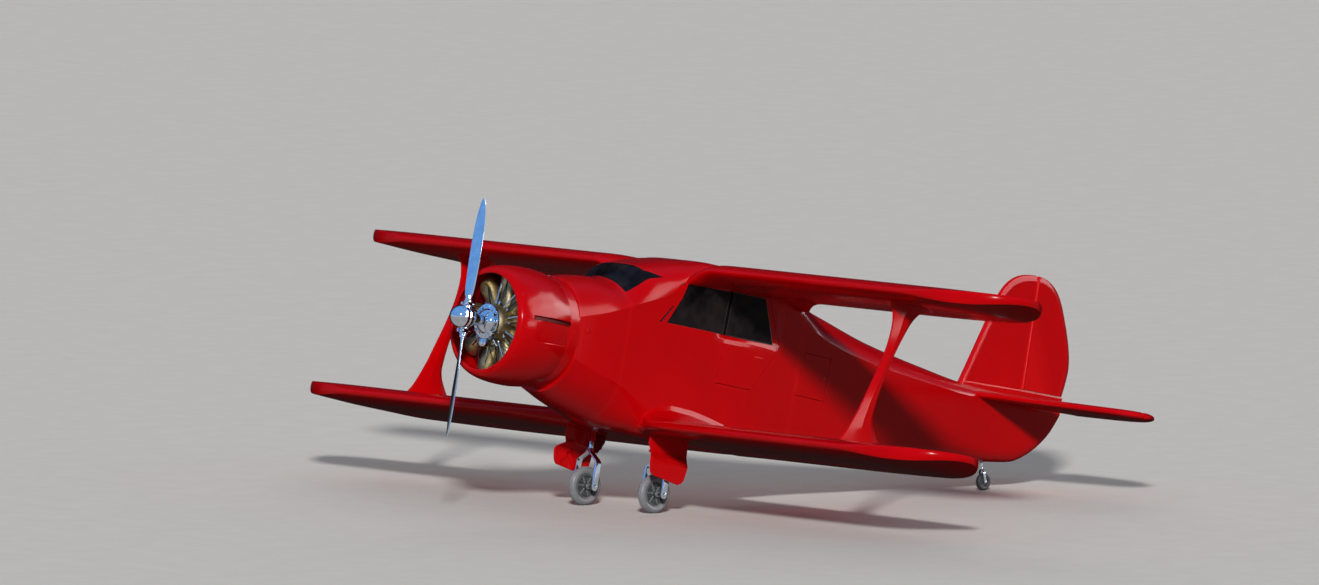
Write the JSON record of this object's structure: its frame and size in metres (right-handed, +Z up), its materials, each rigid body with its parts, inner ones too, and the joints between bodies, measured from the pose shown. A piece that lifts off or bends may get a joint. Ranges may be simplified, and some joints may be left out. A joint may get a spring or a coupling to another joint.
{
  "type": "cabin biplane",
  "caption": "Red cabin biplane with its upper wing set behind the lower, a radial engine in a round cowl, faired struts and a tail wheel; doors, controls and wheels move.",
  "frame": {"origin": "middle of the box around the parked aircraft, on the ground", "axes": "+X to the nose, +Y to the port wing tip, +Z up; parked nose up on its wheels"},
  "size_m": [8.1976, 9.74, 3.1607],
  "materials": {
    "red_paint": "gloss",
    "dark_red_paint": "gloss",
    "chrome": "polished",
    "steel": "satin",
    "brass": "satin",
    "glass": "gloss",
    "tyre_grey": "matte",
    "tyre_black": "matte",
    "leather": "satin",
    "trim_black": "matte"
  },
  "bodies": {
    "airframe": {"upper_wing_port": "red_paint", "upper_wing_starboard": "red_paint", "lower_wing_port": "red_paint", "lower_wing_starboard": "red_paint", "interplane_strut_port": "red_paint", "interplane_strut_starboard": "red_paint", "cabin_shell": "red_paint", "forward_fuselage": "red_paint", "cowl": "red_paint", "cowl_skirt": "red_paint", "rear_fuselage": "red_paint", "fin": "red_paint", "stabiliser_port": "red_paint", "stabiliser_starboard": "red_paint", "gear_oleo_port": "red_paint", "gear_oleo_starboard": "red_paint", "gear_door_port": "red_paint", "gear_door_starboard": "red_paint", "gear_plate_port": "dark_red_paint", "gear_plate_starboard": "dark_red_paint", "side_glass_port": "glass", "side_glass_starboard": "glass", "sliver_glass_port": "glass", "sliver_glass_starboard": "glass", "windshield": "glass", "engine": "brass", "gear_fork_port": "chrome", "gear_fork_starboard": "chrome", "tail_leg": "steel", "front_seat_port": "leather", "front_seat_starboard": "leather", "rear_bench": "leather", "seat_frame_port": "trim_black", "seat_frame_starboard": "trim_black", "bench_box": "trim_black", "instrument_panel": "trim_black", "control_yoke": "trim_black"},
    "propeller": {"propeller": "chrome", "spinner": "chrome"},
    "main_wheel_port": {"main_tyre_port": "tyre_grey", "main_rim_port": "steel"},
    "main_wheel_starboard": {"main_tyre_starboard": "tyre_grey", "main_rim_starboard": "steel"},
    "tail_caster": {"tail_fork": "chrome"},
    "tail_wheel": {"tail_tyre": "tyre_black", "tail_rim": "steel"},
    "rudder": {"rudder": "red_paint"},
    "elevators": {"elevator_port": "red_paint", "elevator_starboard": "red_paint"},
    "aileron_port": {"aileron_port": "red_paint"},
    "aileron_starboard": {"aileron_starboard": "red_paint"},
    "flap_port": {"flap_port": "red_paint"},
    "flap_starboard": {"flap_starboard": "red_paint"},
    "cabin_door": {"cabin_door": "red_paint", "door_glass": "glass"},
    "baggage_hatch": {"baggage_hatch": "red_paint"}
  },
  "joints": [
    {"name": "propeller_spin", "type": "hinge", "parent": "airframe", "child": "propeller", "pos_m": [3.88338, 0, 1.98403], "axis": [0.9841, 0, 0.1774], "continuous": true},
    {"name": "main_wheel_spin_port", "type": "hinge", "parent": "airframe", "child": "main_wheel_port", "pos_m": [1.83756, 0.527, 0.19368], "axis": [0, 1, 0], "continuous": true},
    {"name": "main_wheel_spin_starboard", "type": "hinge", "parent": "airframe", "child": "main_wheel_starboard", "pos_m": [1.83756, -0.527, 0.19368], "axis": [0, 1, 0], "continuous": true},
    {"name": "tail_caster_swivel", "type": "hinge", "parent": "airframe", "child": "tail_caster", "pos_m": [-2.9642, 0, 0.22768], "axis": [0, 0, 1], "continuous": true},
    {"name": "tail_wheel_spin", "type": "hinge", "parent": "tail_caster", "child": "tail_wheel", "pos_m": [-2.9892, 0, 0.08768], "axis": [0, 1, 0], "continuous": true},
    {"name": "rudder_hinge", "type": "hinge", "parent": "airframe", "child": "rudder", "pos_m": [-3.47673, 0, 0.99966], "axis": [-0.1774, 0, 0.9841], "range_deg": [-25, 25]},
    {"name": "elevator_hinge", "type": "hinge", "parent": "airframe", "child": "elevators", "pos_m": [-3.45243, 0, 0.86483], "axis": [0, 1, 0], "range_deg": [-20, 25]},
    {"name": "aileron_hinge_port", "type": "hinge", "parent": "airframe", "child": "aileron_port", "pos_m": [0.31075, 3.175, 2.15391], "axis": [0, 1, 0], "range_deg": [-22, 22]},
    {"name": "aileron_hinge_starboard", "type": "hinge", "parent": "airframe", "child": "aileron_starboard", "pos_m": [0.31075, -3.175, 2.15391], "axis": [0, 1, 0], "range_deg": [-22, 22]},
    {"name": "flap_hinge_port", "type": "hinge", "parent": "airframe", "child": "flap_port", "pos_m": [1.07077, 1.94, 0.64121], "axis": [0, 1, 0], "range_deg": [-40, 0]},
    {"name": "flap_hinge_starboard", "type": "hinge", "parent": "airframe", "child": "flap_starboard", "pos_m": [1.07077, -1.94, 0.64121], "axis": [0, 1, 0], "range_deg": [-40, 0]},
    {"name": "cabin_door_hinge", "type": "hinge", "parent": "airframe", "child": "cabin_door", "pos_m": [1.03798, 0.59, 1.71496], "axis": [0.1774, 0, -0.9841], "range_deg": [0, 80]},
    {"name": "baggage_hatch_hinge", "type": "hinge", "parent": "airframe", "child": "baggage_hatch", "pos_m": [-0.04944, 0.521, 1.31571], "axis": [0.1774, 0, -0.9841], "range_deg": [0, 100]}
  ],
  "couplings": [
    {"joint": "aileron_hinge_starboard", "follows": "aileron_hinge_port", "ratio": -1},
    {"joint": "flap_hinge_starboard", "follows": "flap_hinge_port", "ratio": 1}
  ]
}
